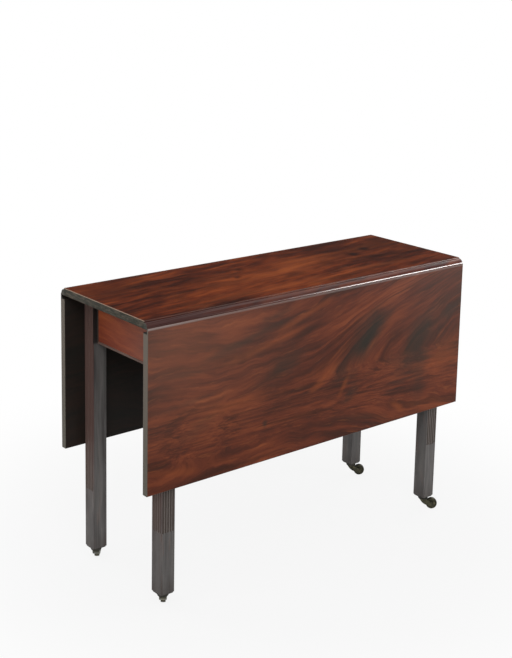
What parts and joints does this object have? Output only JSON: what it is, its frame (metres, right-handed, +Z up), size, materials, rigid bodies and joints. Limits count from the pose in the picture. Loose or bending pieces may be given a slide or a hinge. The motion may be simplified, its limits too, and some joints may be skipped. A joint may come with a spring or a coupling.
{
  "type": "pembroke table",
  "caption": "Narrow oblong table with drop leaves on rule joints, beaded end friezes, straight square legs with stopped flutes, and swivelling brass castors.",
  "frame": {"origin": "on the floor under the middle of the top", "axes": "+X along the table's length, -Y towards the front leaf, +Z up"},
  "size_m": [1.028, 0.366, 0.711],
  "materials": {
    "mahogany_top": "old french-polished mahogany with streaky figure, satin gloss",
    "mahogany_leaf": "old french-polished figured mahogany, satin gloss outside and dull dark inside",
    "mahogany_leg": "darkened waxed mahogany",
    "mahogany_frieze": "polished mahogany",
    "secondary_wood": "unpolished oak, darkened with age",
    "hinge_iron": "dark wrought iron",
    "castor_brass": "dull tarnished brass, brighter where rubbed"
  },
  "bodies": {
    "frame": {"top_board": "mahogany_top", "leg_front_left": "mahogany_leg", "leg_front_right": "mahogany_leg", "leg_rear_left": "mahogany_leg", "leg_rear_right": "mahogany_leg", "end_rail_left": "mahogany_frieze", "frieze_bead_left": "mahogany_frieze", "end_rail_right": "mahogany_frieze", "frieze_bead_right": "mahogany_frieze", "side_rail_front": "secondary_wood", "fly_rail_front": "secondary_wood", "fly_bracket_front_left": "secondary_wood", "fly_bracket_front_right": "secondary_wood", "hinge_top_plates_front": "hinge_iron", "hinge_pins_front": "hinge_iron", "side_rail_rear": "secondary_wood", "fly_rail_rear": "secondary_wood", "fly_bracket_rear_left": "secondary_wood", "fly_bracket_rear_right": "secondary_wood", "hinge_top_plates_rear": "hinge_iron", "hinge_pins_rear": "hinge_iron", "hinge_top_screws": "hinge_iron", "top_screws": "hinge_iron", "fly_pins": "hinge_iron", "glue_blocks": "secondary_wood", "castor_plate_front_left": "castor_brass", "castor_plate_front_right": "castor_brass", "castor_plate_rear_left": "castor_brass", "castor_plate_rear_right": "castor_brass", "castor_screws": "hinge_iron"},
    "front_leaf": {"leaf_front": "mahogany_leaf", "hinge_leaf_plates_front": "hinge_iron", "hinge_leaf_screws_front": "hinge_iron"},
    "rear_leaf": {"leaf_rear": "mahogany_leaf", "hinge_leaf_plates_rear": "hinge_iron", "hinge_leaf_screws_rear": "hinge_iron"},
    "castor_front_left": {"castor_horn_front_left": "castor_brass", "castor_axle_front_left": "castor_brass"},
    "wheel_front_left": {"castor_wheel_front_left": "castor_brass"},
    "castor_front_right": {"castor_horn_front_right": "castor_brass", "castor_axle_front_right": "castor_brass"},
    "wheel_front_right": {"castor_wheel_front_right": "castor_brass"},
    "castor_rear_left": {"castor_horn_rear_left": "castor_brass", "castor_axle_rear_left": "castor_brass"},
    "wheel_rear_left": {"castor_wheel_rear_left": "castor_brass"},
    "castor_rear_right": {"castor_horn_rear_right": "castor_brass", "castor_axle_rear_right": "castor_brass"},
    "wheel_rear_right": {"castor_wheel_rear_right": "castor_brass"}
  },
  "joints": [
    {"name": "front_leaf_hinge", "type": "hinge", "parent": "frame", "child": "front_leaf", "pos_m": [0, -0.168, 0.696], "axis": [-1, 0, 0], "range_deg": [0, 90]},
    {"name": "rear_leaf_hinge", "type": "hinge", "parent": "frame", "child": "rear_leaf", "pos_m": [0, 0.168, 0.696], "axis": [1, 0, 0], "range_deg": [0, 90]},
    {"name": "castor_swivel_front_left", "type": "hinge", "parent": "frame", "child": "castor_front_left", "pos_m": [-0.441, -0.144, 0.034], "axis": [0, 0, 1], "continuous": true},
    {"name": "castor_wheel_front_left", "type": "hinge", "parent": "castor_front_left", "child": "wheel_front_left", "pos_m": [-0.42622, -0.12509, 0.0155], "axis": [-0.788, 0.6157, 0], "continuous": true},
    {"name": "castor_swivel_front_right", "type": "hinge", "parent": "frame", "child": "castor_front_right", "pos_m": [0.441, -0.144, 0.034], "axis": [0, 0, 1], "continuous": true},
    {"name": "castor_wheel_front_right", "type": "hinge", "parent": "castor_front_right", "child": "wheel_front_right", "pos_m": [0.45991, -0.15878, 0.0155], "axis": [0.6157, 0.788, 0], "continuous": true},
    {"name": "castor_swivel_rear_left", "type": "hinge", "parent": "frame", "child": "castor_rear_left", "pos_m": [-0.441, 0.144, 0.034], "axis": [0, 0, 1], "continuous": true},
    {"name": "castor_wheel_rear_left", "type": "hinge", "parent": "castor_rear_left", "child": "wheel_rear_left", "pos_m": [-0.42622, 0.16291, 0.0155], "axis": [-0.788, 0.6157, 0], "continuous": true},
    {"name": "castor_swivel_rear_right", "type": "hinge", "parent": "frame", "child": "castor_rear_right", "pos_m": [0.441, 0.144, 0.034], "axis": [0, 0, 1], "continuous": true},
    {"name": "castor_wheel_rear_right", "type": "hinge", "parent": "castor_rear_right", "child": "wheel_rear_right", "pos_m": [0.45991, 0.12922, 0.0155], "axis": [0.6157, 0.788, 0], "continuous": true}
  ]
}
